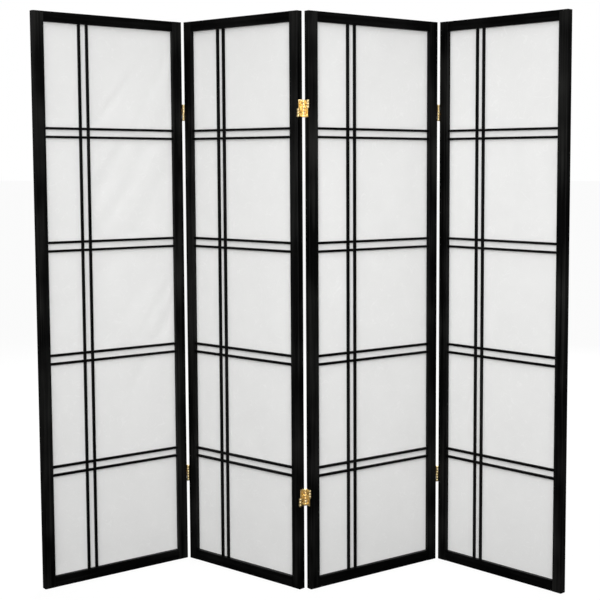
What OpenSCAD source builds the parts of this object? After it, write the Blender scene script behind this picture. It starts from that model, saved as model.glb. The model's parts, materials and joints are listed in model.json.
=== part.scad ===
// Free-standing folding shoji screen: four lattice leaves on double-action brass hinges.
// Millimetres, +Z up, feet on Z = 0, the lattice side faces -Y.

/* [Leaf frame] */
// Height of each leaf
leaf_height = 1524; // [1300:1:1850]
// Width of each leaf
leaf_width = 438; // [380:1:540]
// Thickness of the stiles and rails
leaf_thickness = 19; // [18:0.5:26]
// Face width of a stile
stile_face = 29; // [25:0.5:36]
// Face width of a top rail
top_rail_face = 27; // [25:0.5:36]
// Face width of a bottom rail
bottom_rail_face = 29; // [25:0.5:36]
// Bevel on the long edges of stiles and rails
edge_ease = 0.8; // [0.3:0.1:1.2]
// Gap left for glue where two frame pieces butt
glue_gap = 0.05; // [0.02:0.01:0.1]

/* [Lattice] */
// Face width of a lattice bar
bar_face = 6.4; // [5:0.1:8]
// Depth of a lattice bar, front to back
bar_depth = 7; // [5:0.1:8]
// How far the bars lie behind the front face of the frame
bar_setback = 4.5; // [1:0.1:4.8]
// Centre distance of the two bars of a pair
pair_spacing = 22.5; // [16:0.1:32]
// Place of the upright pair across the leaf, as a share of its width
upright_share = 0.324; // [0.2:0.001:0.5]
// Length of a bar end let into the frame
bar_end = 5; // [3:0.5:5.5]
// Clearance around a bar end in its housing
housing_gap = 0.1; // [0.05:0.01:0.3]
// Clearance in a half-lap crossing
lap_gap = 0.05; // [0.02:0.01:0.15]

/* [Paper and back strips] */
// Thickness of the paper sheet
paper_thickness = 0.4; // [0.2:0.05:0.8]
// Width of the rebate behind the frame that takes paper and strips
rebate = 7; // [6:0.1:8]
// How far the strips stop short of the rear face
strip_setback = 0.6; // [0.3:0.1:1.5]
// Clearance around a strip in the rebate
strip_gap = 0.2; // [0.1:0.05:0.4]
// Shank diameter of a brad
brad_diameter = 1.2; // [1:0.1:1.4]
// Head diameter of a brad
brad_head = 2.2; // [1.8:0.1:2.6]
// Depth a brad reaches into the frame
brad_reach = 4; // [3:0.5:5]
// Clearance around a brad
brad_gap = 0.1; // [0.05:0.01:0.2]

/* [Corner dowels] */
// Diameter of a dowel
dowel_diameter = 6; // [5:0.1:6.4]
// Depth of a dowel hole in each piece
dowel_depth = 15; // [10:0.5:18]
// Clearance around a dowel
dowel_gap = 0.1; // [0.05:0.01:0.2]

/* [Hinges] */
// Height of a hinge
hinge_height = 45; // [43:0.1:60]
// Distance from the top of a leaf to the middle of the upper hinge
hinge_from_top = 250; // [150:1:320]
// Distance from the foot of a leaf to the middle of the lower hinge
hinge_from_foot = 248; // [150:1:320]
// Gap between two neighbouring leaves when the screen is flat
leaf_gap = 7; // [7:0.1:9]
// Distance of a hinge pin's centre outside the wood face
pin_proud = 0.5; // [0.4:0.1:1.5]
// Thickness of the hinge plates
plate_thickness = 1.2; // [0.8:0.1:1.4]
// Thickness of the folding links
link_thickness = 1.2; // [0.8:0.1:1.4]
// Clearance between a knuckle and the wood or plate beside it
knuckle_gap = 0.3; // [0.3:0.05:0.4]
// Diameter of a hinge pin
pin_diameter = 3; // [2.5:0.1:3.4]
// Clearance around a pin in the knuckles that turn on it
pin_play = 0.08; // [0.05:0.01:0.1]
// Clearance around a pin in the knuckles that hold it
pin_fit = 0.04; // [0.02:0.01:0.06]
// Distance of each screw from the middle of the hinge
screw_offset = 10; // [9:0.5:13]
// Shank diameter of a hinge screw
screw_diameter = 3; // [2.5:0.1:3.5]
// Head diameter of a hinge screw
screw_head = 5.4; // [4.6:0.1:5.8]
// Length of a hinge screw
screw_length = 16; // [12:0.5:20]
// Clearance around a screw
screw_gap = 0.08; // [0.05:0.01:0.15]

/* [Folding] */
// Angle of the first leaf to the long axis of the screen
lead_angle = 41; // [30:0.5:50]
// Turn from leaf 1 to leaf 2 as the screen stands
fold_12 = 80; // [60:0.5:100]
// Turn from leaf 2 to leaf 3 as the screen stands
fold_23 = 78.5; // [60:0.5:100]
// Turn from leaf 3 to leaf 4 as the screen stands
fold_34 = 83; // [60:0.5:100]

/* [Hidden] */

wood = [0.07, 0.065, 0.06];
wood_bar = [0.09, 0.085, 0.08];
wood_strip = [0.12, 0.11, 0.10];
beech = [0.78, 0.62, 0.42];
sheet = [0.93, 0.92, 0.88];
brass = [0.86, 0.68, 0.32];
brass_link = [0.78, 0.60, 0.27];
steel = [0.72, 0.73, 0.74];

// Overall values
H = leaf_height;
W = leaf_width;
T = leaf_thickness;
paper_front = bar_setback + bar_depth;
paper_back = paper_front + paper_thickness;
open_left = stile_face;
open_right = W - stile_face;
open_bottom = bottom_rail_face;
open_top = H - top_rail_face;

// Lattice centres: one pair of uprights, four pairs of rungs that part the opening evenly
upright_mid = W * upright_share;
upright_at = [upright_mid - pair_spacing / 2, upright_mid + pair_spacing / 2];
pair_count = 4;
pair_height = pair_spacing + bar_face;
cell_height = (open_top - open_bottom - pair_count * pair_height) / (pair_count + 1);
pair_mid = [for (i = [1 : pair_count]) open_bottom + i * (cell_height + pair_height) - pair_height / 2];
rung_at = [for (m = pair_mid) for (d = [-1, 1]) m + d * pair_spacing / 2];
lap_plane = bar_setback + bar_depth / 2;

// Hinge values, measured from the middle of the gap and the middle of the thickness
barrel_radius = leaf_gap / 2 - knuckle_gap;
axis_reach = T / 2 + pin_proud;
plate_reach = axis_reach - barrel_radius - knuckle_gap;
half_split = 0.25;
half_height = hinge_height / 2 - half_split;
knuckle_count = 3;
knuckle_height = (half_height - (knuckle_count - 1) * knuckle_gap) / knuckle_count;
knuckle_pitch = knuckle_height + knuckle_gap;
hinge_at = [hinge_from_foot, H - hinge_from_top];
bore_turn = pin_diameter + 2 * pin_play;
bore_hold = pin_diameter + 2 * pin_fit;

// Brads along the four strips
strip_mid = rebate / 2;
strip_low = open_bottom - strip_mid;
strip_high = open_top + strip_mid;
strip_near = open_left - strip_mid;
strip_far = open_right + strip_mid;
brad_rows = [for (f = [0.04, 0.27, 0.5, 0.73, 0.96]) open_bottom + f * (open_top - open_bottom)];
brad_cols = [for (f = [0.12, 0.5, 0.88]) open_left + f * (open_right - open_left)];
brad_at = concat(
    [for (z = brad_rows) [strip_near, z]],
    [for (z = brad_rows) [strip_far, z]],
    [for (s = brad_cols) [s, strip_low]],
    [for (s = brad_cols) [s, strip_high]]
);

// Dowels, two in each corner joint, measured from the outer edge of the rail
dowel_share = [0.24, 0.54];
dowel_rows = concat([for (f = dowel_share) f * bottom_rail_face],
                    [for (f = dowel_share) H - f * top_rail_face]);

// Where each leaf stands: angle, then the place of its front left foot
turn_1 = lead_angle;
turn_2 = turn_1 - fold_12;
turn_3 = turn_2 + fold_23;
turn_4 = turn_3 - fold_34;
function along(a) = [cos(a), sin(a)];
function across(a) = [-sin(a), cos(a)];
far = W + leaf_gap / 2;
near = leaf_gap / 2;
rear = T + pin_proud;
foot_1 = [0, 0];
pivot_12 = foot_1 + far * along(turn_1) - pin_proud * across(turn_1);
foot_2 = pivot_12 + near * along(turn_2) + pin_proud * across(turn_2);
pivot_23 = foot_2 + far * along(turn_2) + rear * across(turn_2);
foot_3 = pivot_23 + near * along(turn_3) - rear * across(turn_3);
pivot_34 = foot_3 + far * along(turn_3) - pin_proud * across(turn_3);
foot_4 = pivot_34 + near * along(turn_4) + pin_proud * across(turn_4);
feet = [foot_1, foot_2, foot_3, foot_4];
turns = [turn_1, turn_2, turn_3, turn_4];

// Plan outline of the standing screen, so the origin lies under its middle
function spot(k, s, q) = feet[k] + s * along(turns[k]) + q * across(turns[k]);
ease = edge_ease;
front_corners = [[ease, 0], [0, ease], [W - ease, 0], [W, ease]];
rear_corners = [for (c = front_corners) [c[0], T - c[1]]];
wood_corners = concat(front_corners, rear_corners);
wood_spots = [for (k = [0 : 3]) for (c = wood_corners) spot(k, c[0], c[1])];
left_pins = [for (k = [1 : 3]) for (q = [-pin_proud, rear]) spot(k, -near, q)];
right_pins = [for (k = [0 : 2]) for (q = [-pin_proud, rear]) spot(k, far, q)];
pin_spots = concat(left_pins, right_pins);
low_x = min([for (p = wood_spots) p[0]]);
high_x = max([for (p = wood_spots) p[0]]);
low_wood = min([for (p = wood_spots) p[1]]);
high_wood = max([for (p = wood_spots) p[1]]);
low_pin = min([for (p = pin_spots) p[1]]) - barrel_radius;
high_pin = max([for (p = pin_spots) p[1]]) + barrel_radius;
mid_x = (low_x + high_x) / 2;
mid_y = (min(low_wood, low_pin) + max(high_wood, high_pin)) / 2;

// Puts a leaf, drawn from its front left foot, in its standing place
module leaf(k) {
    translate([feet[k - 1][0] - mid_x, feet[k - 1][1] - mid_y, 0])
        rotate([0, 0, turns[k - 1]])
            children();
}

// A plain block between two corners
module block(a, b) {
    translate(a)
        cube(b - a);
}

// Cross-section with bevelled corners, used along a stile or a rail
module eased_section(w, d) {
    c = edge_ease;
    polygon([[c, 0], [w - c, 0], [w, c], [w, d - c], [w - c, d], [c, d], [0, d - c], [0, c]]);
}

// The stepped recess behind the whole opening
module rebate_cut() {
    block([open_left - rebate, paper_front, open_bottom - rebate],
          [open_right + rebate, T + 1, open_top + rebate]);
}

// Housings for the ends of all lattice bars
module housing_cuts() {
    h = bar_face / 2 + housing_gap;
    e = bar_end + housing_gap;
    for (s = upright_at)
        block([s - h, bar_setback - housing_gap, open_bottom - e],
              [s + h, paper_front + 1, open_top + e]);
    for (z = rung_at)
        block([open_left - e, bar_setback - housing_gap, z - h],
              [open_right + e, paper_front + 1, z + h]);
}

// Holes for the brads, from the rebate floor into the frame
module brad_holes(from, to) {
    for (p = brad_at)
        translate([p[0], to, p[1]])
            rotate([90, 0, 0])
                cylinder(d = brad_diameter + 2 * brad_gap, h = to - from, $fn = 20);
}

// Holes for the corner dowels
module dowel_holes() {
    for (s = [open_left, open_right])
        for (z = dowel_rows)
            translate([s - dowel_depth, T / 2, z])
                rotate([0, 90, 0])
                    cylinder(d = dowel_diameter + 2 * dowel_gap, h = 2 * dowel_depth, $fn = 32);
}

// Pilot holes for hinge screws; side is 1 on the right edge, -1 on the left edge
module pilot_holes(side) {
    for (z = hinge_at)
        for (d = [-1, 1])
            translate([side > 0 ? W + 1 : -1, T / 2, z + d * screw_offset])
                rotate([0, -90 * side, 0])
                    cylinder(d = screw_diameter + 2 * screw_gap, h = screw_length + 1, $fn = 28);
}

// A stile on its own side; hinged says whether plates are screwed to its edge
module stile(side, hinged) {
    difference() {
        translate([side > 0 ? W - stile_face : 0, 0, 0])
            linear_extrude(height = H)
                eased_section(stile_face, T);
        rebate_cut();
        housing_cuts();
        dowel_holes();
        brad_holes(paper_front - brad_reach - 0.5, T);
        if (hinged)
            pilot_holes(side);
    }
}

// A rail of the given face width, butted between the stiles, with its foot at height z
module rail(z, face) {
    difference() {
        translate([open_left + glue_gap, 0, z])
            rotate([90, 0, 90])
                linear_extrude(height = open_right - open_left - 2 * glue_gap)
                    rail_section(face);
        rebate_cut();
        housing_cuts();
        dowel_holes();
        brad_holes(paper_front - brad_reach - 0.5, T);
    }
}

// Rail section with depth along X and height along Y of the drawing plane
module rail_section(face) {
    translate([0, face])
        rotate(-90)
            eased_section(face, T);
}

// Two upright bars, notched in front for the rungs
module upright_pair() {
    h = bar_face / 2;
    for (s = upright_at)
        difference() {
            block([s - h, bar_setback, open_bottom - bar_end], [s + h, paper_front, open_top + bar_end]);
            for (z = rung_at)
                block([s - h - 1, bar_setback - 1, z - h - lap_gap],
                      [s + h + 1, lap_plane + lap_gap, z + h + lap_gap]);
        }
}

// Eight rungs, notched behind for the uprights
module rung_set() {
    h = bar_face / 2;
    for (z = rung_at)
        difference() {
            block([open_left - bar_end, bar_setback, z - h], [open_right + bar_end, paper_front, z + h]);
            for (s = upright_at)
                block([s - h - lap_gap, lap_plane, z - h - 1],
                      [s + h + lap_gap, paper_front + 1, z + h + 1]);
        }
}

// One sheet of paper over the back of the lattice
module paper_sheet() {
    r = rebate - 0.5;
    difference() {
        block([open_left - r, paper_front, open_bottom - r], [open_right + r, paper_back, open_top + r]);
        brad_holes(paper_front - 1, T);
    }
}

// Four strips that hold the paper in the rebate
module strip_set() {
    front = paper_back;
    back = T - strip_setback;
    a = rebate - strip_gap;
    difference() {
        union() {
            block([open_left - a, front, open_bottom - a], [open_left, back, open_top + a]);
            block([open_right, front, open_bottom - a], [open_right + a, back, open_top + a]);
            block([open_left + strip_gap, front, open_bottom - a], [open_right - strip_gap, back, open_bottom]);
            block([open_left + strip_gap, front, open_top], [open_right - strip_gap, back, open_top + a]);
        }
        brad_holes(paper_front - 1, T);
    }
}

// Dowels of the four corner joints
module dowel_set() {
    e = 0.5;
    for (s = [open_left, open_right])
        for (z = dowel_rows)
            translate([s - dowel_depth + e, T / 2, z])
                rotate([0, 90, 0])
                    cylinder(d = dowel_diameter, h = 2 * (dowel_depth - e), $fn = 32);
}

// Brads with flat heads resting on the strips
module brad_set() {
    head = T - strip_setback;
    for (p = brad_at)
        translate([p[0], head, p[1]])
            rotate([90, 0, 0])
                union() {
                    translate([0, 0, -0.4])
                        cylinder(d = brad_head, h = 0.4, $fn = 24);
                    cylinder(d = brad_diameter, h = head - paper_front + brad_reach, $fn = 20);
                }
}

// Hinge pieces below are drawn about the middle of the gap, the thickness and the hinge height

// Height at which knuckle i of a half begins; half is 1 above and -1 below
function knuckle_foot(i, half) =
    half > 0 ? half_split + i * knuckle_pitch : -half_split - knuckle_height - i * knuckle_pitch;

// Plate for the right edge of a leaf: rear knuckles above, front knuckles below
module hinge_plate() {
    x0 = -leaf_gap / 2;
    x1 = x0 + plate_thickness;
    difference() {
        union() {
            block([x0, -plate_reach, -hinge_height / 2], [x1, plate_reach, hinge_height / 2]);
            for (half = [-1, 1])
                for (i = [0, knuckle_count - 1])
                    translate([0, 0, knuckle_foot(i, half)])
                        plate_knuckle(half, x0, x1);
        }
        for (half = [-1, 1])
            translate([0, half * axis_reach, -hinge_height])
                cylinder(d = bore_hold, h = 2 * hinge_height, $fn = 32);
        for (d = [-1, 1])
            translate([x1, 0, d * screw_offset])
                rotate([0, -90, 0])
                    screw_seat();
    }
}

// One knuckle with the strip of plate that carries it
module plate_knuckle(half, x0, x1) {
    y0 = half > 0 ? 0 : -axis_reach;
    block([x0, y0, 0], [x1, y0 + axis_reach, knuckle_height]);
    translate([0, half * axis_reach, 0])
        cylinder(r = barrel_radius, h = knuckle_height, $fn = 48);
}

// Countersunk hole through a plate, drawn inward from the plate's face
module screw_seat() {
    d1 = screw_head + 2 * screw_gap;
    d2 = screw_diameter + 2 * screw_gap;
    translate([0, 0, -1])
        cylinder(d = d1, h = 1, $fn = 32);
    cylinder(d1 = d1, d2 = d2, h = plate_thickness, $fn = 32);
    cylinder(d = d2, h = plate_thickness + 1, $fn = 32);
}

// Folding link of one half: the middle knuckle of both axes, joined by a plate
module hinge_link(half) {
    x = link_thickness / 2;
    z0 = half > 0 ? half_split : -half_split - half_height;
    k0 = knuckle_foot(1, half);
    difference() {
        union() {
            block([-x, -plate_reach, z0], [x, plate_reach, z0 + half_height]);
            block([-x, -axis_reach, k0], [x, axis_reach, k0 + knuckle_height]);
            for (side = [-1, 1])
                translate([0, side * axis_reach, k0])
                    cylinder(r = barrel_radius, h = knuckle_height, $fn = 48);
        }
        for (side = [-1, 1])
            translate([0, side * axis_reach, -hinge_height])
                cylinder(d = bore_turn, h = 2 * hinge_height, $fn = 32);
        translate([-5, 0, half * screw_offset])
            rotate([0, 90, 0])
                cylinder(d = screw_head + 1, h = 10, $fn = 32);
    }
}

// The two pins a plate holds, one in each half
module plate_pins() {
    for (half = [-1, 1])
        translate([0, half * axis_reach, half > 0 ? half_split : -half_split - half_height])
            cylinder(d = pin_diameter, h = half_height, $fn = 32);
}

// The two screws of a plate
module plate_screws() {
    x1 = -leaf_gap / 2 + plate_thickness;
    for (d = [-1, 1])
        translate([x1, 0, d * screw_offset])
            rotate([0, -90, 0])
                hinge_screw();
}

// Countersunk cross-head screw, drawn inward from the face of its head
module hinge_screw() {
    difference() {
        union() {
            cylinder(d1 = screw_head, d2 = screw_diameter, h = plate_thickness, $fn = 32);
            cylinder(d = screw_diameter, h = screw_length - 2, $fn = 28);
            translate([0, 0, screw_length - 2])
                cylinder(d1 = screw_diameter, d2 = 0.8, h = 2, $fn = 28);
        }
        for (a = [0, 90])
            rotate([0, 0, a])
                block([-1.5, -0.3, -1], [1.5, 0.3, 0.7]);
    }
}

// Places a hinge piece at both hinge heights on the right or left edge of a leaf
module on_right_edge() {
    for (z = hinge_at)
        translate([far, T / 2, z])
            children();
}

module on_left_edge() {
    for (z = hinge_at)
        translate([-near, T / 2, z])
            rotate([0, 0, 180])
                children();
}

// Leaf 1

module left_stile_1() {
    color(wood)
        leaf(1)
            stile(-1, false);
}

module right_stile_1() {
    color(wood)
        leaf(1)
            stile(1, true);
}

module top_rail_1() {
    color(wood)
        leaf(1)
            rail(open_top, top_rail_face);
}

module bottom_rail_1() {
    color(wood)
        leaf(1)
            rail(0, bottom_rail_face);
}

module uprights_1() {
    color(wood_bar)
        leaf(1)
            upright_pair();
}

module rungs_1() {
    color(wood_bar)
        leaf(1)
            rung_set();
}

module paper_1() {
    color(sheet)
        leaf(1)
            paper_sheet();
}

module back_strips_1() {
    color(wood_strip)
        leaf(1)
            strip_set();
}

module dowels_1() {
    color(beech)
        leaf(1)
            dowel_set();
}

module brads_1() {
    color(steel)
        leaf(1)
            brad_set();
}

// Leaf 2

module left_stile_2() {
    color(wood)
        leaf(2)
            stile(-1, true);
}

module right_stile_2() {
    color(wood)
        leaf(2)
            stile(1, true);
}

module top_rail_2() {
    color(wood)
        leaf(2)
            rail(open_top, top_rail_face);
}

module bottom_rail_2() {
    color(wood)
        leaf(2)
            rail(0, bottom_rail_face);
}

module uprights_2() {
    color(wood_bar)
        leaf(2)
            upright_pair();
}

module rungs_2() {
    color(wood_bar)
        leaf(2)
            rung_set();
}

module paper_2() {
    color(sheet)
        leaf(2)
            paper_sheet();
}

module back_strips_2() {
    color(wood_strip)
        leaf(2)
            strip_set();
}

module dowels_2() {
    color(beech)
        leaf(2)
            dowel_set();
}

module brads_2() {
    color(steel)
        leaf(2)
            brad_set();
}

// Leaf 3

module left_stile_3() {
    color(wood)
        leaf(3)
            stile(-1, true);
}

module right_stile_3() {
    color(wood)
        leaf(3)
            stile(1, true);
}

module top_rail_3() {
    color(wood)
        leaf(3)
            rail(open_top, top_rail_face);
}

module bottom_rail_3() {
    color(wood)
        leaf(3)
            rail(0, bottom_rail_face);
}

module uprights_3() {
    color(wood_bar)
        leaf(3)
            upright_pair();
}

module rungs_3() {
    color(wood_bar)
        leaf(3)
            rung_set();
}

module paper_3() {
    color(sheet)
        leaf(3)
            paper_sheet();
}

module back_strips_3() {
    color(wood_strip)
        leaf(3)
            strip_set();
}

module dowels_3() {
    color(beech)
        leaf(3)
            dowel_set();
}

module brads_3() {
    color(steel)
        leaf(3)
            brad_set();
}

// Leaf 4

module left_stile_4() {
    color(wood)
        leaf(4)
            stile(-1, true);
}

module right_stile_4() {
    color(wood)
        leaf(4)
            stile(1, false);
}

module top_rail_4() {
    color(wood)
        leaf(4)
            rail(open_top, top_rail_face);
}

module bottom_rail_4() {
    color(wood)
        leaf(4)
            rail(0, bottom_rail_face);
}

module uprights_4() {
    color(wood_bar)
        leaf(4)
            upright_pair();
}

module rungs_4() {
    color(wood_bar)
        leaf(4)
            rung_set();
}

module paper_4() {
    color(sheet)
        leaf(4)
            paper_sheet();
}

module back_strips_4() {
    color(wood_strip)
        leaf(4)
            strip_set();
}

module dowels_4() {
    color(beech)
        leaf(4)
            dowel_set();
}

module brads_4() {
    color(steel)
        leaf(4)
            brad_set();
}

// Hinges: in a front fold the top link rides on the left leaf, in a rear fold on the right leaf

module hinge_12_plate_left() {
    color(brass)
        leaf(1)
            on_right_edge()
                hinge_plate();
}

module hinge_12_plate_right() {
    color(brass)
        leaf(2)
            on_left_edge()
                hinge_plate();
}

module hinge_12_link_top() {
    color(brass_link)
        leaf(1)
            on_right_edge()
                hinge_link(1);
}

module hinge_12_link_bottom() {
    color(brass_link)
        leaf(2)
            on_left_edge()
                hinge_link(-1);
}

module hinge_23_plate_left() {
    color(brass)
        leaf(2)
            on_right_edge()
                hinge_plate();
}

module hinge_23_plate_right() {
    color(brass)
        leaf(3)
            on_left_edge()
                hinge_plate();
}

module hinge_23_link_top() {
    color(brass_link)
        leaf(3)
            on_left_edge()
                hinge_link(1);
}

module hinge_23_link_bottom() {
    color(brass_link)
        leaf(2)
            on_right_edge()
                hinge_link(-1);
}

module hinge_34_plate_left() {
    color(brass)
        leaf(3)
            on_right_edge()
                hinge_plate();
}

module hinge_34_plate_right() {
    color(brass)
        leaf(4)
            on_left_edge()
                hinge_plate();
}

module hinge_34_link_top() {
    color(brass_link)
        leaf(3)
            on_right_edge()
                hinge_link(1);
}

module hinge_34_link_bottom() {
    color(brass_link)
        leaf(4)
            on_left_edge()
                hinge_link(-1);
}

module hinge_pins_1() {
    color(steel)
        leaf(1) {
            on_right_edge()
                plate_pins();
        }
}

module hinge_pins_2() {
    color(steel)
        leaf(2) {
            on_right_edge()
                plate_pins();
            on_left_edge()
                plate_pins();
        }
}

module hinge_pins_3() {
    color(steel)
        leaf(3) {
            on_right_edge()
                plate_pins();
            on_left_edge()
                plate_pins();
        }
}

module hinge_pins_4() {
    color(steel)
        leaf(4) {
            on_left_edge()
                plate_pins();
        }
}

module hinge_screws_1() {
    color(brass)
        leaf(1) {
            on_right_edge()
                plate_screws();
        }
}

module hinge_screws_2() {
    color(brass)
        leaf(2) {
            on_right_edge()
                plate_screws();
            on_left_edge()
                plate_screws();
        }
}

module hinge_screws_3() {
    color(brass)
        leaf(3) {
            on_right_edge()
                plate_screws();
            on_left_edge()
                plate_screws();
        }
}

module hinge_screws_4() {
    color(brass)
        leaf(4) {
            on_left_edge()
                plate_screws();
        }
}

left_stile_1();
right_stile_1();
top_rail_1();
bottom_rail_1();
uprights_1();
rungs_1();
paper_1();
back_strips_1();
dowels_1();
brads_1();
left_stile_2();
right_stile_2();
top_rail_2();
bottom_rail_2();
uprights_2();
rungs_2();
paper_2();
back_strips_2();
dowels_2();
brads_2();
left_stile_3();
right_stile_3();
top_rail_3();
bottom_rail_3();
uprights_3();
rungs_3();
paper_3();
back_strips_3();
dowels_3();
brads_3();
left_stile_4();
right_stile_4();
top_rail_4();
bottom_rail_4();
uprights_4();
rungs_4();
paper_4();
back_strips_4();
dowels_4();
brads_4();
hinge_12_plate_left();
hinge_12_plate_right();
hinge_12_link_top();
hinge_12_link_bottom();
hinge_23_plate_left();
hinge_23_plate_right();
hinge_23_link_top();
hinge_23_link_bottom();
hinge_34_plate_left();
hinge_34_plate_right();
hinge_34_link_top();
hinge_34_link_bottom();
hinge_pins_1();
hinge_pins_2();
hinge_pins_3();
hinge_pins_4();
hinge_screws_1();
hinge_screws_2();
hinge_screws_3();
hinge_screws_4();
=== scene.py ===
# %% [markdown]
# # A folding shoji screen
# Four lattice leaves stand in a zigzag on double-action brass hinges. The packed
# model already has every stick, sheet, plate and pin in its place. This lesson
# gives each of them its finish: softened edges, black stained wood, fibrous
# paper that has slackened a little, and bright brass.

import json
import math

import bmesh
import bpy
import numpy as np
from mathutils import Matrix, Vector


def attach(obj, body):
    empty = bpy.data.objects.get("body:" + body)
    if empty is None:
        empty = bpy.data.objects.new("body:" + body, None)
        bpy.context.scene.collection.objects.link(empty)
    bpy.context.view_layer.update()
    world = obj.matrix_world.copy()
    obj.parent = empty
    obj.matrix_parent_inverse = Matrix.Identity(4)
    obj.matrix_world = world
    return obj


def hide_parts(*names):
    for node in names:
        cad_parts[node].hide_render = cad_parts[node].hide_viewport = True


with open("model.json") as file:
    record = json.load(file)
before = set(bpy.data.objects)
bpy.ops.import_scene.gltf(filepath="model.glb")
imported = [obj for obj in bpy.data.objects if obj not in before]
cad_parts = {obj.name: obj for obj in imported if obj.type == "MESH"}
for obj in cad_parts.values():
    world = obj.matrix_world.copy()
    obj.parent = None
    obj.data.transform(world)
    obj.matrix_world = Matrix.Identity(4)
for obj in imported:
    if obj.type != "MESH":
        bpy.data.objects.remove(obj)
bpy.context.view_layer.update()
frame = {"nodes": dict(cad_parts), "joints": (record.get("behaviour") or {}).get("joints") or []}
LEAVES = (1, 2, 3, 4)
MM = 0.001

# %% [markdown]
# ## Where each leaf stands
# A leaf is turned in plan, so its own axes are more useful than the room's.
# The widest face of its paper looks straight out of the leaf, and that one
# normal gives both plan directions. Positions along, through and up a leaf are
# then the same for all four.

# %% Leaf axes
def node_points(node):
    """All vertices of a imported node, one row each, in metres."""
    mesh = frame["nodes"][node].data
    flat = np.zeros(len(mesh.vertices) * 3)
    mesh.vertices.foreach_get("co", flat)
    return flat.reshape(-1, 3)


class Leaf:
    """One leaf's own axes: s runs along it, q through it and z up."""

    def __init__(self, number):
        self.number = number
        self.body = f"leaf_{number}"
        paper = frame["nodes"][f"paper_{number}"].data
        normal = max(paper.polygons, key=lambda face: face.area).normal
        normal = np.array([normal.x, normal.y]) * (1 if normal.y > 0 else -1)
        self.through = normal / np.linalg.norm(normal)
        self.along = np.array([self.through[1], -self.through[0]])
        edge = node_points(f"left_stile_{number}")[:, :2]
        self.start = np.array([(edge @ self.along).min(), (edge @ self.through).min()])

    def to_leaf(self, points):
        plan = points[:, :2]
        s = plan @ self.along - self.start[0]
        q = plan @ self.through - self.start[1]
        return np.column_stack([s, q, points[:, 2]])

    def to_room(self, points):
        s = points[:, 0] + self.start[0]
        q = points[:, 1] + self.start[1]
        plan = np.outer(s, self.along) + np.outer(q, self.through)
        return np.column_stack([plan, points[:, 2]])

    def box(self, node):
        local = self.to_leaf(node_points(node))
        return local.min(0), local.max(0)


leaves = {number: Leaf(number) for number in LEAVES}
for leaf in leaves.values():
    print(leaf.body, "turned", round(math.degrees(math.atan2(leaf.along[1], leaf.along[0])), 2))

# %% [markdown]
# ## Two small helpers for materials
# Paint charts give colours as sRGB hex values, but shaders work in linear
# light, so one function converts them. The other adds a node with its settings
# and its links in one line, which keeps each material short enough to read.

# %% Colour and node helpers
# A Mix node has one set of sockets for each data type; these are the colour ones.
MIX_SHARE, MIX_FIRST, MIX_SECOND, MIX_RESULT = 0, 6, 7, 2


def linear(hex_colour):
    """Linear RGBA from an sRGB hex colour such as "#C8A04A"."""
    parts = [int(hex_colour[i:i + 2], 16) / 255 for i in (1, 3, 5)]
    return [c / 12.92 if c <= 0.04045 else ((c + 0.055) / 1.055) ** 2.4 for c in parts] + [1.0]


def add_node(tree, kind, inputs=None, **settings):
    """A node with its settings; an input takes a value or another node's output."""
    node = tree.nodes.new(kind)
    for key, value in settings.items():
        setattr(node, key, value)
    for key, value in (inputs or {}).items():
        if isinstance(value, bpy.types.NodeSocket):
            tree.links.new(value, node.inputs[key])
        else:
            node.inputs[key].default_value = value
    return node


def new_material(name):
    """An empty node material and its output node."""
    material = bpy.data.materials.new(name)
    material.use_nodes = True
    material.node_tree.nodes.clear()
    return material, material.node_tree, material.node_tree.nodes.new("ShaderNodeOutputMaterial")


# %% [markdown]
# ## Black stained wood
# The frame is light softwood, stained black and sprayed with satin lacquer. The
# stain drinks unevenly, so faint streaks follow the grain, and the lacquer
# leaves a little of the pores' relief. Grain has a direction, so every stick
# carries an attribute called "grain": its position along, across and through
# the stick, in metres. Real streaks are about 1 mm wide; here the broad ones
# are 8 mm wide so that they still show across a room.

# %% Stained wood
def stained_wood(name, dark, light, gloss):
    material, tree, output = new_material(name)
    grain = add_node(tree, "ShaderNodeAttribute", attribute_name="grain")
    streak_place = add_node(tree, "ShaderNodeMapping", {
        "Vector": grain.outputs["Vector"], "Scale": (2.5, 120.0, 120.0)})
    streaks = add_node(tree, "ShaderNodeTexNoise", {
        "Vector": streak_place.outputs["Vector"], "Scale": 1.0, "Detail": 3.0,
        "Roughness": 0.6, "Distortion": 0.4})
    pore_place = add_node(tree, "ShaderNodeMapping", {
        "Vector": grain.outputs["Vector"], "Scale": (45.0, 1600.0, 1600.0)})
    pores = add_node(tree, "ShaderNodeTexNoise", {
        "Vector": pore_place.outputs["Vector"], "Scale": 1.0, "Detail": 2.0})
    blotch = add_node(tree, "ShaderNodeTexNoise", {
        "Vector": grain.outputs["Vector"], "Scale": 6.0, "Detail": 2.0})
    share = add_node(tree, "ShaderNodeMath", {
        0: streaks.outputs["Fac"], 1: blotch.outputs["Fac"]}, operation="MULTIPLY")
    stain = add_node(tree, "ShaderNodeValToRGB", {"Fac": share.outputs[0]})
    stain.color_ramp.elements[0].position = 0.2
    stain.color_ramp.elements[0].color = linear(dark)
    stain.color_ramp.elements[1].position = 0.44
    stain.color_ramp.elements[1].color = linear(light)
    sheen = add_node(tree, "ShaderNodeMapRange", {
        "Value": streaks.outputs["Fac"], "From Min": 0.3, "From Max": 0.7,
        "To Min": gloss, "To Max": gloss + 0.14})
    relief = add_node(tree, "ShaderNodeMath", {
        0: pores.outputs["Fac"], 1: streaks.outputs["Fac"]}, operation="ADD")
    bump = add_node(tree, "ShaderNodeBump", {
        "Height": relief.outputs[0], "Strength": 0.25, "Distance": 0.0002})
    surface = add_node(tree, "ShaderNodeBsdfPrincipled", {
        "Base Color": stain.outputs["Color"], "Roughness": sheen.outputs["Result"],
        "Normal": bump.outputs["Normal"], "Specular IOR Level": 0.05})
    tree.links.new(surface.outputs["BSDF"], output.inputs["Surface"])
    return material


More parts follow.
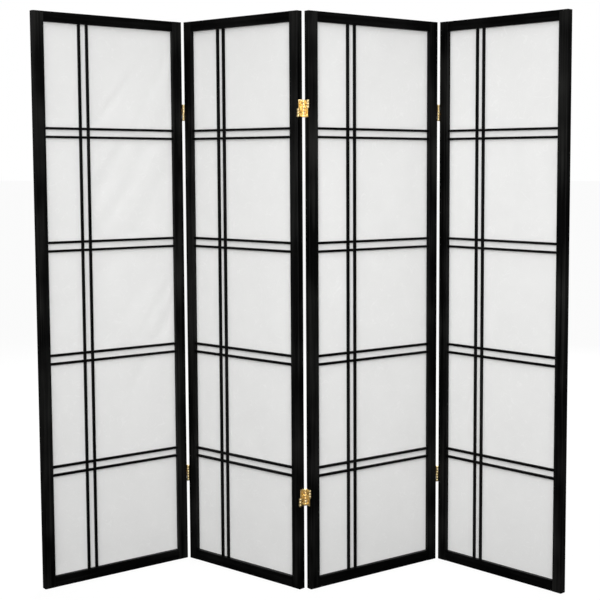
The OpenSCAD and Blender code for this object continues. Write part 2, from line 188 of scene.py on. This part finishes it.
# Satin lacquer over black stain: dark, with a soft low highlight. The stiles' lighter
# streak colour is painted sheen: it stands in for the soft highlight the stiles catch and the rails
# don't.
stile_lacquer_with_painted_sheen = stained_wood("black_stained_basswood_stile_painted_sheen", "#030303", "#212120", 0.36)
rail_lacquer = stained_wood("black_stained_basswood_rail", "#020202", "#111111", 0.36)
# The thin lattice bars were dipped, so they are a touch duller.
lattice_lacquer = stained_wood("black_dipped_lattice_basswood", "#030303", "#141414", 0.42)
# The strips behind are only stained: drier and a little browner.
strip_stain = stained_wood("black_stained_back_strip", "#060606", "#201D1A", 0.55)
for finish in (stile_lacquer_with_painted_sheen, rail_lacquer, lattice_lacquer, strip_stain):
    print("wood finish", finish.name)

# %% [markdown]
# ## Handmade-style paper
# The sheets are white paper with long plant fibres, pulled thin and matte. The
# pulp lies a little cloudy and the fibres catch the light as fine curly
# threads. The threads are drawn where a soft noise crosses its middle value,
# which makes closed wandering lines. They are about 1 mm wide, wider than
# life, so that they still show. Such paper is made to glow, so some of the light
# passes through it: a little subsurface scattering does that in one shader.

# %% Paper
SOAK_DEPTH = 0.7 * MM  # how far light spreads in the pulp, a little over its thickness


def fibre_paper(name, thin, thick):
    material, tree, output = new_material(name)
    place = add_node(tree, "ShaderNodeAttribute", attribute_name="grain")
    cloud = add_node(tree, "ShaderNodeTexNoise", {
        "Vector": place.outputs["Vector"], "Scale": 14.0, "Detail": 6.0, "Roughness": 0.55})
    wander = add_node(tree, "ShaderNodeTexNoise", {
        "Vector": place.outputs["Vector"], "Scale": 22.0, "Detail": 1.5, "Distortion": 1.4})
    middle = add_node(tree, "ShaderNodeMath", {
        0: wander.outputs["Fac"], 1: 0.5}, operation="SUBTRACT")
    distance = add_node(tree, "ShaderNodeMath", {0: middle.outputs[0]}, operation="ABSOLUTE")
    thread = add_node(tree, "ShaderNodeMapRange", {
        "Value": distance.outputs[0], "From Min": 0.0, "From Max": 0.012,
        "To Min": 1.0, "To Max": 0.0})
    pulp = add_node(tree, "ShaderNodeValToRGB", {"Fac": cloud.outputs["Fac"]})
    pulp.color_ramp.elements[0].position = 0.3
    pulp.color_ramp.elements[0].color = linear(thin)
    pulp.color_ramp.elements[1].position = 0.7
    pulp.color_ramp.elements[1].color = linear(thick)
    fleck = add_node(tree, "ShaderNodeMath", {
        0: thread.outputs["Result"], 1: 0.35}, operation="MULTIPLY")
    fibred = add_node(tree, "ShaderNodeMix", {
        MIX_SHARE: fleck.outputs[0], MIX_FIRST: pulp.outputs["Color"],
        MIX_SECOND: linear("#F8F8F7")}, data_type="RGBA")
    relief = add_node(tree, "ShaderNodeMath", {
        0: thread.outputs["Result"], 1: cloud.outputs["Fac"]}, operation="ADD")
    bump = add_node(tree, "ShaderNodeBump", {
        "Height": relief.outputs[0], "Strength": 0.2, "Distance": 0.0002})
    surface = add_node(tree, "ShaderNodeBsdfPrincipled", {
        "Base Color": fibred.outputs[MIX_RESULT], "Roughness": 0.88,
        "Normal": bump.outputs["Normal"], "Specular IOR Level": 0.25,
        "Subsurface Weight": 0.55, "Subsurface Radius": (1.0, 1.0, 1.0),
        "Subsurface Scale": SOAK_DEPTH})
    tree.links.new(surface.outputs["BSDF"], output.inputs["Surface"])
    return material


# Matte white pulp with fibres: no gloss, faint clouds and threads, and the
# lattice as a soft shadow when it is seen from behind.
white_fibre_paper = fibre_paper("white_fibre_paper", "#E9E9E8", "#ECECEB")

# %% [markdown]
# ## Brass and steel
# The hinges are stamped and rolled from brass sheet, then bright dipped, which
# leaves a warm, clean metal with a slightly pebbled face. Handling has dulled
# it in patches. A metal's colour is its reflection, so the patches change the
# roughness more than the colour. The hinge pins share the hinges' brass, the brads
# are plain steel and the hidden dowels are bare beech.

# %% Metals
def metal(name, clean, dull, low_gloss, high_gloss, pebble_mm, pebble_depth):
    material, tree, output = new_material(name)
    place = add_node(tree, "ShaderNodeTexCoord")
    patches = add_node(tree, "ShaderNodeTexNoise", {
        "Vector": place.outputs["Object"], "Scale": 120.0, "Detail": 3.0})
    pebbles = add_node(tree, "ShaderNodeTexVoronoi", {
        "Vector": place.outputs["Object"], "Scale": 1.0 / (pebble_mm * MM)}, feature="SMOOTH_F1")
    tint = add_node(tree, "ShaderNodeMix", {
        MIX_SHARE: patches.outputs["Fac"], MIX_FIRST: linear(clean),
        MIX_SECOND: linear(dull)}, data_type="RGBA")
    gloss = add_node(tree, "ShaderNodeMapRange", {
        "Value": patches.outputs["Fac"], "From Min": 0.3, "From Max": 0.7,
        "To Min": low_gloss, "To Max": high_gloss})
    bump = add_node(tree, "ShaderNodeBump", {
        "Height": pebbles.outputs["Distance"], "Strength": pebble_depth, "Distance": 0.0003})
    surface = add_node(tree, "ShaderNodeBsdfPrincipled", {
        "Base Color": tint.outputs[MIX_RESULT], "Metallic": 1.0,
        "Roughness": gloss.outputs["Result"], "Normal": bump.outputs["Normal"]})
    tree.links.new(surface.outputs["BSDF"], output.inputs["Surface"])
    return material


# Bright dipped brass: warm yellow, glossy, faintly pebbled.
hinge_brass = metal("bright_dipped_brass", "#FDEBBA", "#EBC880", 0.3, 0.42, 2.2, 0.12)
# Brass-plated screws are smoother and a little paler.
screw_brass = metal("brass_plated_screw_steel", "#E9C878", "#CFA75A", 0.2, 0.3, 1.0, 0.1)
# Drawn steel wire: grey, softly bright.
pin_steel = metal("drawn_steel_wire", "#B9BABC", "#9C9DA0", 0.28, 0.4, 1.0, 0.05)


def bare_beech(name):
    material, tree, output = new_material(name)
    place = add_node(tree, "ShaderNodeTexCoord")
    flecks = add_node(tree, "ShaderNodeTexNoise", {
        "Vector": place.outputs["Object"], "Scale": 400.0, "Detail": 3.0})
    tone = add_node(tree, "ShaderNodeMix", {
        MIX_SHARE: flecks.outputs["Fac"], MIX_FIRST: linear("#C9A27A"),
        MIX_SECOND: linear("#A97C53")}, data_type="RGBA")
    surface = add_node(tree, "ShaderNodeBsdfPrincipled", {
        "Base Color": tone.outputs[MIX_RESULT], "Roughness": 0.6})
    tree.links.new(surface.outputs["BSDF"], output.inputs["Surface"])
    return material


# Bare beech: pink-brown with short dark flecks.
dowel_beech = bare_beech("bare_beech")
print("materials", len(bpy.data.materials))

# %% [markdown]
# ## Softened edges
# A planed stick never has a knife edge: sanding and lacquer leave a radius of
# about half a millimetre, and that thin line of highlight is what the eye
# reads as wood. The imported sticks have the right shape, with all their
# housings and holes, so a copy of each is merged, its flat faces joined up, and
# a bevel rounds its edges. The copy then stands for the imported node.

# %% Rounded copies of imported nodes
MERGE_DISTANCE = 2e-6  # corners closer than this, in metres, are one corner
FLAT_ANGLE = math.radians(0.5)  # faces that meet at less than this are one face
EDGE_ANGLE = math.radians(32)  # edges sharper than this are rounded


def shown_object(name, mesh):
    piece = bpy.data.objects.new(name, mesh)
    bpy.context.scene.collection.objects.link(piece)
    return piece


def finished_mesh(piece):
    """Turns the modifiers' result into the piece's own plain mesh."""
    graph = bpy.context.evaluated_depsgraph_get()
    result = bpy.data.meshes.new_from_object(
        piece.evaluated_get(graph), preserve_all_data_layers=True, depsgraph=graph)
    piece.modifiers.clear()
    piece.data = result
    return piece


def merged_copy(node, name):
    mesh = frame["nodes"][node].data.copy()
    mesh.materials.clear()
    work = bmesh.new()
    work.from_mesh(mesh)
    bmesh.ops.remove_doubles(work, verts=work.verts, dist=MERGE_DISTANCE)
    bmesh.ops.dissolve_limit(
        work, angle_limit=FLAT_ANGLE, verts=work.verts, edges=work.edges)
    work.to_mesh(mesh)
    work.free()
    mesh.name = name
    return shown_object(name, mesh)


def rounded_copy(node, name, radius, segments, finish):
    piece = merged_copy(node, name)
    for face in piece.data.polygons:
        face.use_smooth = True
    bevel = piece.modifiers.new("rounded edges", "BEVEL")
    bevel.width = radius
    bevel.segments = segments
    bevel.limit_method = "ANGLE"
    bevel.angle_limit = EDGE_ANGLE
    bevel.harden_normals = True
    finished_mesh(piece)
    piece.data.materials.clear()
    piece.data.materials.append(finish)
    return piece


def settle(piece, leaf, material_slot, *nodes):
    """Last step for every piece: its body and the nodes it stands for."""
    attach(piece, leaf.body)
    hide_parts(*nodes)
    return piece


# %% [markdown]
# ## Grain that follows each stick
# The stain's streaks must run lengthwise in upright and level sticks alike. The
# "grain" attribute swaps the leaf's axes so that its first value always runs
# along the stick, and a shift that differs from stick to stick keeps any two
# from showing the same figure.

# %% Grain attribute
# How far the figure moves on from one leaf, stick or sheet to the next, in metres
LEAF_SHIFT, STICK_SHIFT, SHEET_SHIFT = 1.7, 0.43, 2.3


def lay_grain(piece, leaf, lengthwise, shift):
    mesh = piece.data
    flat = np.zeros(len(mesh.vertices) * 3)
    mesh.vertices.foreach_get("co", flat)
    local = leaf.to_leaf(flat.reshape(-1, 3))
    order = [2, 0, 1] if lengthwise == "up" else [0, 2, 1]
    grain = local[:, order] + np.array([shift, 0.37 * shift, 0.11 * shift])
    layer = mesh.attributes.new("grain", "FLOAT_VECTOR", "POINT")
    layer.data.foreach_set("vector", grain.astype(np.float32).ravel())


STICKS = (
    # node stem, grain direction, edge radius in mm, finish, material slot
    ("left_stile", "up", 0.5, stile_lacquer_with_painted_sheen, "frame_wood"),
    ("right_stile", "up", 0.5, stile_lacquer_with_painted_sheen, "frame_wood"),
    ("top_rail", "level", 0.5, rail_lacquer, "frame_wood"),
    ("bottom_rail", "level", 0.5, rail_lacquer, "frame_wood"),
    ("uprights", "up", 0.35, lattice_lacquer, "lattice_wood"),
    ("rungs", "level", 0.35, lattice_lacquer, "lattice_wood"),
    ("back_strips", "up", 0.4, strip_stain, "strip_wood"),
)

for leaf in leaves.values():
    for place, (stem, lengthwise, radius, finish, material_slot) in enumerate(STICKS):
        node = f"{stem}_{leaf.number}"
        stick = rounded_copy(node, f"leaf_{leaf.number}_{stem}", radius * MM, 2, finish)
        lay_grain(stick, leaf, lengthwise, LEAF_SHIFT * leaf.number + STICK_SHIFT * place)
        settle(stick, leaf, material_slot, node)
print("sticks", len(LEAVES) * len(STICKS))

# %% [markdown]
# ## Paper that has slackened
# The sheet is glued to the back of the lattice and pinched in the rebate, so it
# is flat there. Inside each cell it has taken up damp and dried again: it
# bellies back by a fraction of a millimetre and keeps a few long diagonal
# creases. The sheet is a fine grid whose depth is worked out point by point:
# slack is zero at a bar and grows towards a cell's middle.

# %% Paper sheets
THINNEST_BAR, WIDEST_BAR = 4 * MM, 9 * MM  # a bar's face is between these
HALF_BAR = 3.2 * MM
GRID_STEP = 5 * MM
BELLY, BELLY_REACH = 0.5 * MM, 35 * MM  # slack in a cell's middle, and its way from a bar
CREASE_LIFT, CREASE_REACH = 0.3 * MM, 14 * MM


def bar_centres(leaf, stem, axis):
    """Centres of a leaf's bars along one axis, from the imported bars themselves."""
    local = leaf.to_leaf(node_points(f"{stem}_{leaf.number}"))
    values = np.unique(np.round(local[:, axis], 5))
    far_side, near_side = values[1:], values[:-1]
    wide = far_side - near_side
    return [(a + b) / 2 for a, b, w in zip(near_side, far_side, wide)
            if THINNEST_BAR < w < WIDEST_BAR]


def slack_share(values, centres, reach):
    """0 on a bar, 1 once the nearest bar is further away than reach."""
    nearest = np.min(np.abs(values[:, None] - np.array(centres)[None, :]), axis=1)
    t = np.clip((nearest - HALF_BAR) / reach, 0, 1)
    return t * t * (3 - 2 * t)


def crease_depth(s, z, rng, count, slant, lowest, strength):
    """A few long shallow folds that slant alike, each a soft ridge along a line."""
    depth = np.zeros_like(s)
    for _ in range(count):
        s0, z0 = rng.uniform(0.05, 0.40), rng.uniform(lowest, 1.40)
        angle = math.radians(rng.normal(slant, 5.0))
        run = (s - s0) * math.cos(angle) + (z - z0) * math.sin(angle)
        off = -(s - s0) * math.sin(angle) + (z - z0) * math.cos(angle)
        width, length = rng.uniform(0.012, 0.026), rng.uniform(0.10, 0.30)
        ridge = np.exp(-(off / width) ** 2 - (run / length) ** 2)
        depth += strength * rng.uniform(0.4, 1.0) * rng.choice([-1, 1]) * ridge
    return depth


def paper_grids(leaf, folds_of_leaf, rng):
    """The sheet's front and back points, row by row, and how many there are."""
    low, high = leaf.box(f"paper_{leaf.number}")
    columns = int(round((high[0] - low[0]) / GRID_STEP)) + 1
    rows = int(round((high[2] - low[2]) / GRID_STEP)) + 1
    s_line = np.linspace(low[0], high[0], columns)
    z_line = np.linspace(low[2], high[2], rows)
    s, z = (grid.ravel() for grid in np.meshgrid(s_line, z_line))
    inner_left = leaf.box(f"left_stile_{leaf.number}")[1][0]
    inner_right = leaf.box(f"right_stile_{leaf.number}")[0][0]
    inner_foot = leaf.box(f"bottom_rail_{leaf.number}")[1][2]
    inner_head = leaf.box(f"top_rail_{leaf.number}")[0][2]
    s_bars = bar_centres(leaf, "uprights", 0) + [inner_left - HALF_BAR, inner_right + HALF_BAR]
    z_bars = bar_centres(leaf, "rungs", 2) + [inner_foot - HALF_BAR, inner_head + HALF_BAR]
    inside = (s > inner_left) & (s < inner_right) & (z > inner_foot) & (z < inner_head)
    slack = slack_share(s, s_bars, BELLY_REACH) * slack_share(z, z_bars, BELLY_REACH)
    free = slack_share(s, s_bars, CREASE_REACH) * slack_share(z, z_bars, CREASE_REACH)
    folds = crease_depth(s, z, rng, *folds_of_leaf)
    depth = inside * (slack * BELLY + free * np.maximum(folds + CREASE_LIFT, 0.0))
    front = np.column_stack([s, low[1] + depth, z])
    back = np.column_stack([s, high[1] + depth, z])
    return front, back, columns, rows


def sheet_mesh(name, leaf, front, back, columns, rows):
    """Closes the front and back grids into one thin solid."""
    count = columns * rows
    index = np.arange(count).reshape(rows, columns)
    a, b = index[:-1, :-1].ravel(), index[:-1, 1:].ravel()
    c, d = index[1:, 1:].ravel(), index[1:, :-1].ravel()
    faces = np.column_stack([a, b, c, d]).tolist()
    faces += (np.column_stack([d, c, b, a]) + count).tolist()
    rim = np.concatenate([index[0, :], index[1:, -1], index[-1, -2::-1], index[-2:0:-1, 0]])
    after = np.roll(rim, -1)
    faces += np.column_stack([after, rim, rim + count, after + count]).tolist()
    mesh = bpy.data.meshes.new(name)
    mesh.from_pydata(leaf.to_room(np.vstack([front, back])).tolist(), [], faces)
    mesh.polygons.foreach_set("use_smooth", [True] * len(mesh.polygons))
    mesh.materials.append(white_fibre_paper)
    return mesh


FOLDS = {
    # leaf: how many folds, their slant in degrees, the lowest one's height in m, depth in m
    1: (16, 50.0, 0.65, 1.8 * MM),
    2: (6, -55.0, 0.10, 0.6 * MM),
    3: (9, 58.0, 0.30, 0.5 * MM),
    4: (7, 48.0, 0.20, 0.4 * MM),
}
for leaf in leaves.values():
    rng = np.random.default_rng(40 + leaf.number)
    grids = paper_grids(leaf, FOLDS[leaf.number], rng)
    name = f"leaf_{leaf.number}_paper"
    sheet = shown_object(name, sheet_mesh(name, leaf, *grids))
    lay_grain(sheet, leaf, "up", SHEET_SHIFT * leaf.number)
    settle(sheet, leaf, "paper", f"paper_{leaf.number}")
    low, high = leaf.box(f"paper_{leaf.number}")
print("paper sheets", len(LEAVES), "of", len(sheet.data.polygons), "faces")

# %% [markdown]
# ## Hinge plates and links
# A double-action hinge has a plate on each leaf and two folding links between
# them, so a leaf can swing to either side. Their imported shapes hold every
# knuckle and countersink. Stamping rolls the edges over, so these copies get
# a radius of a tenth of a millimetre.

# %% Hinge plates, links and pins
HINGES = {
    # hinge name: which leaf carries each of its four pieces as the screen stands
    "hinge_12": {"plate_left": 1, "plate_right": 2, "link_top": 1, "link_bottom": 2},
    "hinge_23": {"plate_left": 2, "plate_right": 3, "link_top": 3, "link_bottom": 2},
    "hinge_34": {"plate_left": 3, "plate_right": 4, "link_top": 3, "link_bottom": 4},
}
for hinge, carriers in HINGES.items():
    for stem, number in carriers.items():
        node = f"{hinge}_{stem}"
        plate = rounded_copy(node, f"{hinge}_{stem}_brass", 0.12 * MM, 1, hinge_brass)
        settle(plate, leaves[number], "brass", node)

for number in LEAVES:
    for stem, finish in (("hinge_pins", hinge_brass), ("dowels", dowel_beech)):
        kept = frame["nodes"][f"{stem}_{number}"]
        kept.data.materials.clear()
        kept.data.materials.append(finish)
print("hinge pieces", sum(len(c) for c in HINGES.values()))

# %% [markdown]
# ## A tree that sets fasteners out
# Screws and brads repeat, so Geometry Nodes place them: one fastener is built in
# the tree and set on every point, turned to the point's own "outward"
# direction. Each leaf gets its own points, because each leaf moves on its own.
# The points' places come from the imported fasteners.

# %% Geometry Nodes helpers
def new_tree(name, inputs):
    """An empty geometry tree with a Geometry input, named inputs and an output."""
    tree = bpy.data.node_groups.new(name, "GeometryNodeTree")
    tree.is_modifier = True
    tree.interface.new_socket(name="Geometry", in_out="INPUT", socket_type="NodeSocketGeometry")
    for label, kind in inputs.items():
        tree.interface.new_socket(name=label, in_out="INPUT", socket_type=kind)
    tree.interface.new_socket(name="Geometry", in_out="OUTPUT", socket_type="NodeSocketGeometry")
    return tree, tree.nodes.new("NodeGroupInput"), tree.nodes.new("NodeGroupOutput")


def place_on_points(tree, source, fastener, output):
    """Ends a tree: the fastener on each point, realized, with its material."""
    outward = add_node(tree, "GeometryNodeInputNamedAttribute", {"Name": "outward"},
                       data_type="FLOAT_VECTOR")
    turned = add_node(tree, "FunctionNodeAlignRotationToVector", {
        "Vector": outward.outputs["Attribute"]}, axis="Z")
    spin = add_node(tree, "GeometryNodeInputNamedAttribute", {"Name": "spin"}, data_type="FLOAT")
    spin_axis = add_node(tree, "ShaderNodeCombineXYZ", {"Z": spin.outputs["Attribute"]})
    spun = add_node(tree, "FunctionNodeRotateRotation", {
        "Rotation": turned.outputs["Rotation"], "Rotate By": spin_axis.outputs["Vector"]},
        rotation_space="LOCAL")
    placed = add_node(tree, "GeometryNodeInstanceOnPoints", {
        "Points": source.outputs["Geometry"], "Instance": fastener,
        "Rotation": spun.outputs["Rotation"]})
    real = add_node(tree, "GeometryNodeRealizeInstances", {"Geometry": placed.outputs["Instances"]})
    finish = add_node(tree, "GeometryNodeSetMaterial", {
        "Geometry": real.outputs["Geometry"], "Material": source.outputs["Finish"]})
    tree.links.new(finish.outputs["Geometry"], output.inputs["Geometry"])


def run_tree(name, tree, points, outward, spin, values):
    """Runs a tree on points in the room and returns the result as a plain mesh piece."""
    mesh = bpy.data.meshes.new(name)
    mesh.from_pydata([list(p) for p in points], [], [])
    facing = mesh.attributes.new("outward", "FLOAT_VECTOR", "POINT")
    facing.data.foreach_set("vector", np.asarray(outward, np.float32).ravel())
    turning = mesh.attributes.new("spin", "FLOAT", "POINT")
    turning.data.foreach_set("value", np.asarray(spin, np.float32))
    piece = shown_object(name, mesh)
    modifier = piece.modifiers.new("set out", "NODES")
    modifier.node_group = tree
    for item in tree.interface.items_tree:
        if item.item_type == "SOCKET" and item.in_out == "INPUT" and item.name in values:
            modifier[item.identifier] = values[item.name]
    return finished_mesh(piece)


# %% [markdown]
# ## Cross-head screws
# Each plate is held by two countersunk wood screws. The head is a short cone,
# flush with the plate, and a driver's cross is cut into it by a boolean. No two
# screws stop at the same angle, so each gets its own turn from a fixed seed.

# %% Screw tree
def screw_tree():
    tree, source, output = new_tree("cross_head_screws", {
        "Head Radius": "NodeSocketFloat", "Shank Radius": "NodeSocketFloat",
        "Head Depth": "NodeSocketFloat", "Length": "NodeSocketFloat",
        "Cross Size": "NodeSocketVector", "Finish": "NodeSocketMaterial"})
    sink = add_node(tree, "ShaderNodeMath", {0: source.outputs["Head Depth"], 1: -1.0},
                    operation="MULTIPLY")
    down = add_node(tree, "ShaderNodeCombineXYZ", {"Z": sink.outputs[0]})
    cone = add_node(tree, "GeometryNodeMeshCone", {
        "Vertices": 32, "Radius Top": source.outputs["Head Radius"],
        "Radius Bottom": source.outputs["Shank Radius"], "Depth": source.outputs["Head Depth"]})
    head = add_node(tree, "GeometryNodeTransform", {
        "Geometry": cone.outputs["Mesh"], "Translation": down.outputs["Vector"]})
    bar = add_node(tree, "GeometryNodeMeshCube", {"Size": source.outputs["Cross Size"]})
    cross_bar = add_node(tree, "GeometryNodeTransform", {
        "Geometry": bar.outputs["Mesh"], "Rotation": (0.0, 0.0, math.pi / 2)})
    cut = add_node(tree, "GeometryNodeMeshBoolean", operation="DIFFERENCE")
    tree.links.new(head.outputs["Geometry"], cut.inputs["Mesh 1"])
    tree.links.new(cross_bar.outputs["Geometry"], cut.inputs["Mesh 2"])
    tree.links.new(bar.outputs["Mesh"], cut.inputs["Mesh 2"])
    half = add_node(tree, "ShaderNodeMath", {0: source.outputs["Length"], 1: -0.5},
                    operation="MULTIPLY")
    middle = add_node(tree, "ShaderNodeMath", {0: half.outputs[0], 1: sink.outputs[0]},
                      operation="ADD")
    shank_place = add_node(tree, "ShaderNodeCombineXYZ", {"Z": middle.outputs[0]})
    shank = add_node(tree, "GeometryNodeMeshCylinder", {
        "Vertices": 20, "Radius": source.outputs["Shank Radius"],
        "Depth": source.outputs["Length"]})
    shank_down = add_node(tree, "GeometryNodeTransform", {
        "Geometry": shank.outputs["Mesh"], "Translation": shank_place.outputs["Vector"]})
    whole = add_node(tree, "GeometryNodeJoinGeometry")
    tree.links.new(cut.outputs["Mesh"], whole.inputs["Geometry"])
    tree.links.new(shank_down.outputs["Geometry"], whole.inputs["Geometry"])
    place_on_points(tree, source, whole.outputs["Geometry"], output)
    return tree


# %% Screws in place
def loose_parts(node):
    """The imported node's separate solids, each as an array of its points."""
    work = bmesh.new()
    work.from_mesh(frame["nodes"][node].data)
    bmesh.ops.remove_doubles(work, verts=work.verts, dist=MERGE_DISTANCE)
    seen, parts = set(), []
    for first in work.verts:
        if first in seen:
            continue
        stack, part = [first], []
        seen.add(first)
        while stack:
            vert = stack.pop()
            part.append(tuple(vert.co))
            for edge in vert.link_edges:
                other = edge.other_vert(vert)
                if other not in seen:
                    seen.add(other)
                    stack.append(other)
        parts.append(np.array(part))
    work.free()
    return parts


def screw_heads(leaf):
    """Head centres and outward directions: the head is the leaf's outermost end."""
    places, facings = [], []
    middle = leaf.box(f"right_stile_{leaf.number}")[1][0] / 2
    for part in loose_parts(f"hinge_screws_{leaf.number}"):
        local = leaf.to_leaf(part)
        side = 1 if local[:, 0].mean() > middle else -1
        reach = local[:, 0].max() if side > 0 else local[:, 0].min()
        centre = (local.min(0) + local.max(0)) / 2
        places.append([reach, centre[1], centre[2]])
        facings.append([side * leaf.along[0], side * leaf.along[1], 0.0])
    return leaf.to_room(np.array(places)), facings


screws = screw_tree()
for leaf in leaves.values():
    places, facings = screw_heads(leaf)
    rng = np.random.default_rng(70 + leaf.number)
    name = f"leaf_{leaf.number}_screws"
    piece = run_tree(name, screws, places, facings, rng.uniform(0, math.pi / 2, len(places)), {
        "Head Radius": 2.7 * MM, "Shank Radius": 1.5 * MM, "Head Depth": 1.2 * MM,
        "Length": 14.0 * MM, "Cross Size": (3.0 * MM, 0.62 * MM, 1.5 * MM), "Finish": screw_brass})
    settle(piece, leaf, "brass", f"hinge_screws_{leaf.number}")
    print(name, len(places))

# %% [markdown]
# ## Brads along the back strips
# Small flat-headed brads pin the strips that hold the paper. Their heads are
# low domes, seen only from behind.

# %% Brad tree and brads
def brad_tree():
    tree, source, output = new_tree("round_head_brads", {
        "Head Radius": "NodeSocketFloat", "Shank Radius": "NodeSocketFloat",
        "Length": "NodeSocketFloat", "Finish": "NodeSocketMaterial"})
    dome = add_node(tree, "GeometryNodeMeshUVSphere", {
        "Segments": 16, "Rings": 8, "Radius": source.outputs["Head Radius"]})
    head = add_node(tree, "GeometryNodeTransform", {
        "Geometry": dome.outputs["Mesh"], "Scale": (1.0, 1.0, 0.36)})
    half = add_node(tree, "ShaderNodeMath", {0: source.outputs["Length"], 1: -0.5},
                    operation="MULTIPLY")
    down = add_node(tree, "ShaderNodeCombineXYZ", {"Z": half.outputs[0]})
    shank = add_node(tree, "GeometryNodeMeshCylinder", {
        "Vertices": 12, "Radius": source.outputs["Shank Radius"],
        "Depth": source.outputs["Length"]})
    shank_down = add_node(tree, "GeometryNodeTransform", {
        "Geometry": shank.outputs["Mesh"], "Translation": down.outputs["Vector"]})
    whole = add_node(tree, "GeometryNodeJoinGeometry")
    tree.links.new(head.outputs["Geometry"], whole.inputs["Geometry"])
    tree.links.new(shank_down.outputs["Geometry"], whole.inputs["Geometry"])
    smooth = add_node(tree, "GeometryNodeSetShadeSmooth", {"Geometry": whole.outputs["Geometry"]})
    place_on_points(tree, source, smooth.outputs["Geometry"], output)
    return tree


brads = brad_tree()
for leaf in leaves.values():
    strip_back = leaf.box(f"back_strips_{leaf.number}")[1][1]
    tip = leaf.box(f"brads_{leaf.number}")[0][1]
    places = []
    for part in loose_parts(f"brads_{leaf.number}"):
        local = leaf.to_leaf(part)
        centre = (local.min(0) + local.max(0)) / 2
        places.append([centre[0], strip_back, centre[2]])
    facing = [[leaf.through[0], leaf.through[1], 0.0]] * len(places)
    name = f"leaf_{leaf.number}_brads"
    points = leaf.to_room(np.array(places))
    piece = run_tree(name, brads, points, facing, np.zeros(len(places)), {
        "Head Radius": 1.1 * MM, "Shank Radius": 0.6 * MM,
        "Length": strip_back - tip, "Finish": pin_steel})
    settle(piece, leaf, "steel", f"brads_{leaf.number}")
    print(name, len(places))

# %% [markdown]
# ## Studio
# The screen stands on a plain white floor. A broad sun in front lights the four
# leaves alike. A soft lamp at chest height is nearer, so its light falls away
# towards the feet and the lower paper is a shade darker. A third lamp stands
# behind, for the backs of the leaves. The floor and the background are white
# where the camera sees them, but the light that they shed is dimmer, which keeps
# the lacquer black.

# %% Floor, lights and world
FLOOR_SIZE = 200.0  # metres, so that its far edge is never near


def studio_floor(size):
    mesh = bpy.data.meshes.new("studio_floor")
    r = size / 2
    mesh.from_pydata([(-r, -r, 0), (r, -r, 0), (r, r, 0), (-r, r, 0)], [], [(0, 1, 2, 3)])
    material, tree, output = new_material("white_painted_floor")
    rays = add_node(tree, "ShaderNodeLightPath")
    glow = add_node(tree, "ShaderNodeMath", {0: rays.outputs["Is Camera Ray"], 1: 0.9},
                    operation="MULTIPLY")
    paint = add_node(tree, "ShaderNodeBsdfPrincipled", {
        "Base Color": linear("#666666"), "Roughness": 0.9, "Specular IOR Level": 0.0,
        "Emission Color": (1.0, 1.0, 1.0, 1.0), "Emission Strength": glow.outputs[0]})
    tree.links.new(paint.outputs["BSDF"], output.inputs["Surface"])
    mesh.materials.append(material)
    floor = shown_object("studio_floor", mesh)


def soft_light(name, place, target, size, power):
    data = bpy.data.lights.new(name, "AREA")
    data.shape = "SQUARE"
    data.size = size
    data.energy = power
    lamp = bpy.data.objects.new(name, data)
    lamp.location = place
    lamp.rotation_mode = "QUATERNION"
    lamp.rotation_quaternion = (Vector(target) - Vector(place)).to_track_quat("-Z", "Y")
    bpy.context.scene.collection.objects.link(lamp)


def broad_sun(name, place, strength, spread):
    """Even light from far away; spread is its apparent width in degrees."""
    data = bpy.data.lights.new(name, "SUN")
    data.energy = strength
    data.angle = math.radians(spread)
    lamp = bpy.data.objects.new(name, data)
    lamp.rotation_mode = "QUATERNION"
    lamp.rotation_quaternion = (-Vector(place)).to_track_quat("-Z", "Y")
    bpy.context.scene.collection.objects.link(lamp)


studio_floor(FLOOR_SIZE)
broad_sun("front_light", (-0.25, -3.0, 2.2), 1.15, 60.0)
soft_light("key_light", (0.15, -2.1, 1.25), (0.1, 0.0, 1.1), 1.4, 32.0)
soft_light("rear_light", (0.3, 3.6, 2.4), (0.0, 0.0, 0.8), 2.5, 110.0)

world = bpy.data.worlds.new("white_studio")
bpy.context.scene.world = world
world.use_nodes = True
world.node_tree.nodes.clear()
rays = add_node(world.node_tree, "ShaderNodeLightPath")
strength = add_node(world.node_tree, "ShaderNodeMapRange", {
    "Value": rays.outputs["Is Camera Ray"], "To Min": 0.25, "To Max": 1.0})
sky = add_node(world.node_tree, "ShaderNodeBackground", {
    "Color": (1.0, 1.0, 1.0, 1.0), "Strength": strength.outputs["Result"]})
sky_out = add_node(world.node_tree, "ShaderNodeOutputWorld", {"Surface": sky.outputs["Background"]})
bpy.context.scene.view_settings.view_transform = "Standard"

# %% [markdown]
# ## Camera
# The camera stands a little right of the middle fold, at chest height, and
# looks slightly down. Its place is measured from the middle fold's pivot, and a
# small shift slides the picture without turning the camera.

# %% Camera
middle_fold = next(j for j in frame["joints"] if j["name"] == "fold_23")["pos_m"]
CAMERA_FROM_FOLD = (0.2712, -3.3229)
CAMERA_HEIGHT = 1.1243
YAW, PITCH, ROLL = -0.86, -4.96, 0.04  # degrees
SENSOR_WIDTH = 36.0
VIEW_RATIO = 2.1233  # lens length over sensor width
CENTRE_SHIFT = (-0.1480, -0.0381)  # in picture widths

camera_data = bpy.data.cameras.new("camera")
camera_data.sensor_width = SENSOR_WIDTH
camera_data.lens = VIEW_RATIO * SENSOR_WIDTH
camera_data.shift_x, camera_data.shift_y = CENTRE_SHIFT
camera_data.clip_end = 100.0
camera = bpy.data.objects.new("camera", camera_data)
turn = Matrix.Rotation(math.radians(-YAW), 4, "Z")
tilt = Matrix.Rotation(math.radians(90 + PITCH), 4, "X")
lean = Matrix.Rotation(math.radians(ROLL), 4, "Z")
place = Vector((middle_fold[0] + CAMERA_FROM_FOLD[0],
                middle_fold[1] + CAMERA_FROM_FOLD[1], CAMERA_HEIGHT))
camera.matrix_world = Matrix.Translation(place) @ turn @ tilt @ lean
print("camera at", [round(v, 3) for v in place])
bpy.context.scene.collection.objects.link(camera)
bpy.context.scene.camera = camera
